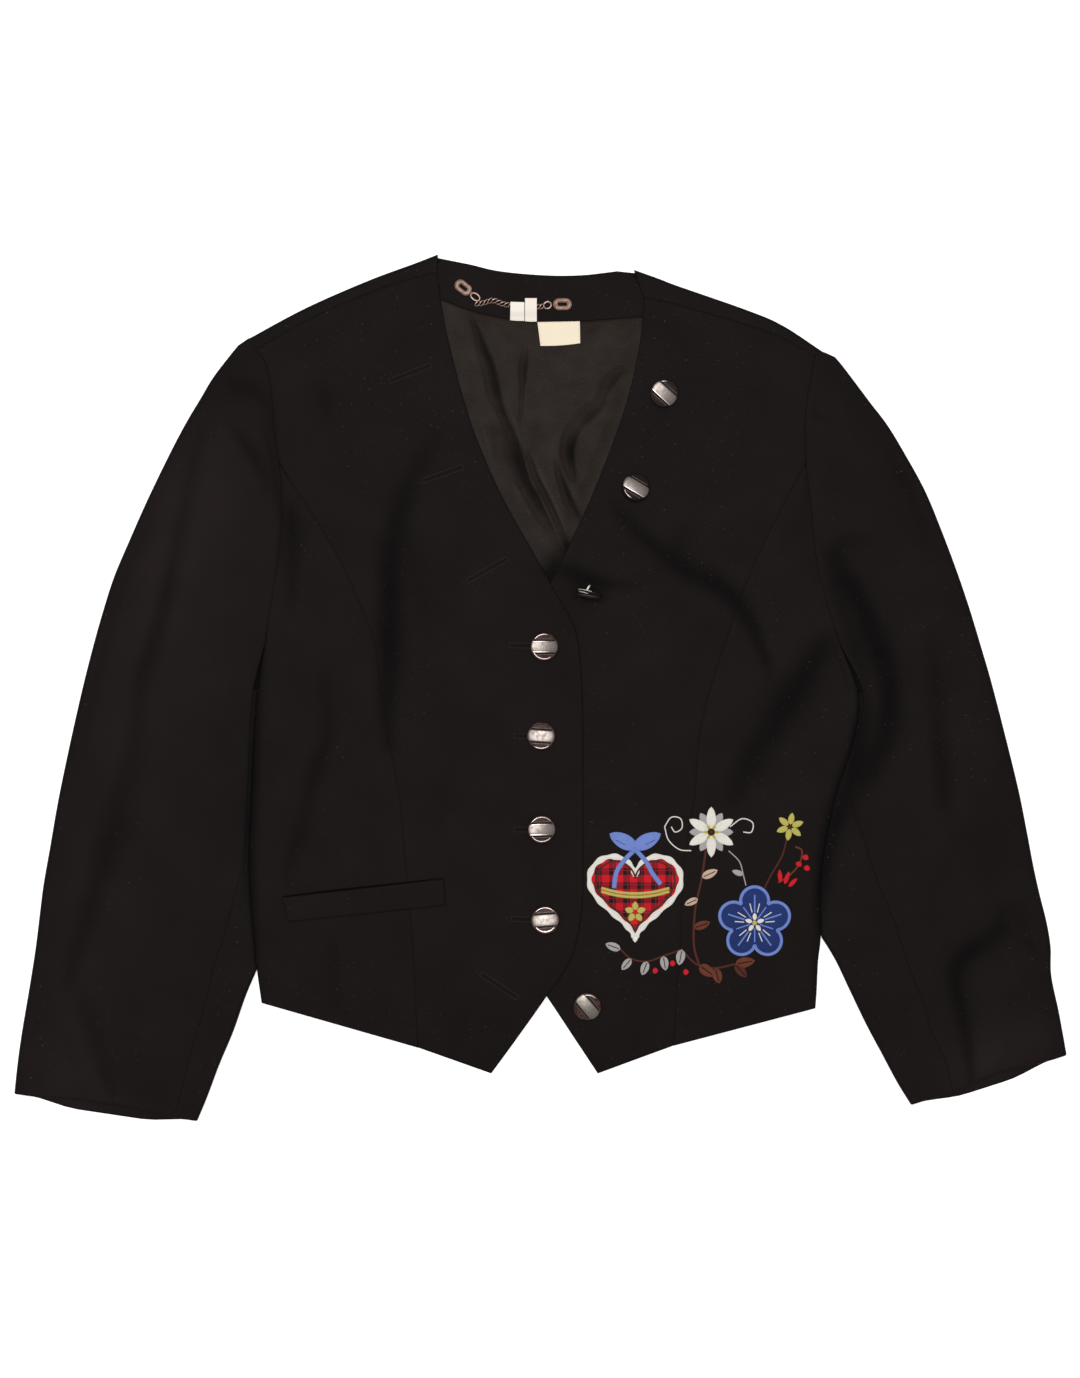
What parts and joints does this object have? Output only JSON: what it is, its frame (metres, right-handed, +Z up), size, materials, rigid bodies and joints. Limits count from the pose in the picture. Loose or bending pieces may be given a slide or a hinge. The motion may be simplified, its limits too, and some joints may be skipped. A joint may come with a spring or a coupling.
{
  "type": "bolero jacket laid flat",
  "caption": "Short fitted wool jacket laid flat face up, with lapped fronts, a pocket welt, round buttons, long sleeves and a raised floral applique.",
  "frame": {"origin": "on the surface that the jacket lies on, under the middle of its box", "axes": "+X to the wearer's left, which is the picture's right, +Y from the hem to the neck, +Z up from the surface"},
  "size_m": [0.79, 0.6502, 0.0259],
  "materials": {
    "black_wool": "fine matt wool cloth",
    "brown_satin": "lining satin with a soft sheen",
    "copper_metal": "satin copper-coloured metal",
    "cream_label": "smooth woven tape, bare",
    "button_brown": "dark brown disc with a pewter-coloured bar",
    "red_embroidery": "checked applique cloth with satin stitch",
    "navy_embroidery": "applique cloth with satin stitch"
  },
  "bodies": {
    "root": {"back": "black_wool", "back_lining": "brown_satin", "back_neck_facing": "black_wool", "front_left_side": "black_wool", "front_left_centre": "black_wool", "front_right_side": "black_wool", "front_right_centre": "black_wool", "sleeve_right_top": "black_wool", "sleeve_right_under": "black_wool", "sleeve_left_top": "black_wool", "sleeve_left_under": "black_wool", "pocket_welt": "black_wool", "hanger_plate_right": "copper_metal", "hanger_plate_left": "copper_metal", "hanger_ring_right": "copper_metal", "hanger_ring_left": "copper_metal", "hanger_chain": "copper_metal", "label_size": "cream_label", "label_tab": "cream_label", "label_care": "cream_label", "button_1": "button_brown", "button_2": "button_brown", "button_3": "button_brown", "button_4": "button_brown", "button_5": "button_brown", "button_6": "button_brown", "button_7": "button_brown", "button_8": "button_brown", "applique_heart": "red_embroidery", "applique_gentian": "navy_embroidery"}
  },
  "joints": []
}
